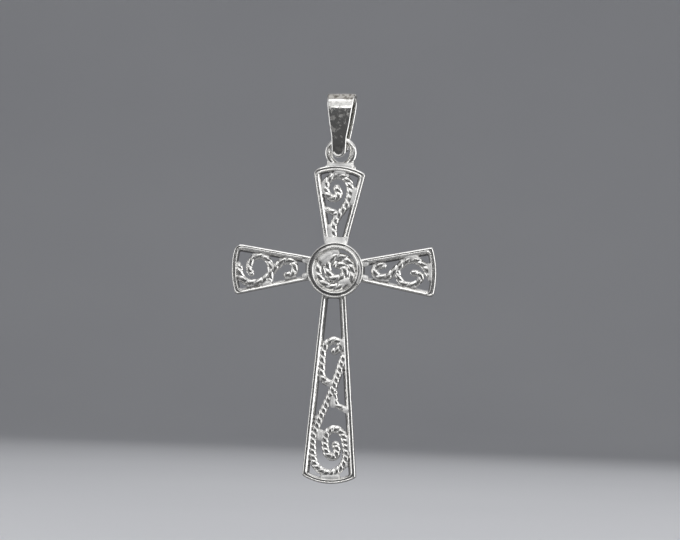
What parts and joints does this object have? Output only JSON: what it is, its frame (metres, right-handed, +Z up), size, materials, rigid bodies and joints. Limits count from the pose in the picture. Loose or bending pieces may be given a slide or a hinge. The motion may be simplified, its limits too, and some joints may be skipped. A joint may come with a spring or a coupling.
{
  "type": "filigree cross pendant",
  "caption": "Openwork silver cross pendant with twisted-wire scrolls in a bevelled frame, a raised disc with a coiled rosette, and a folded tapering bail.",
  "frame": {"origin": "where a chain runs through the top of the bail, in the middle of its fold", "axes": "+Z up, -Y is the front, +X to the viewer's right as the cross hangs and is seen from the front"},
  "size_m": [0.0257, 0.0034, 0.0488],
  "materials": {
    "bail_silver": "polished sterling silver, slightly clouded on the flat",
    "cross_silver": "polished sterling silver with darkened, grainy recesses"
  },
  "bodies": {
    "bail": {"bail": "bail_silver"},
    "cross": {"cross": "cross_silver"}
  },
  "joints": [
    {"name": "pendant_swing", "type": "hinge", "parent": "bail", "child": "cross", "pos_m": [0.00002, 0, -0.00488], "axis": [1, 0, 0], "range_deg": [-85, 85]}
  ]
}
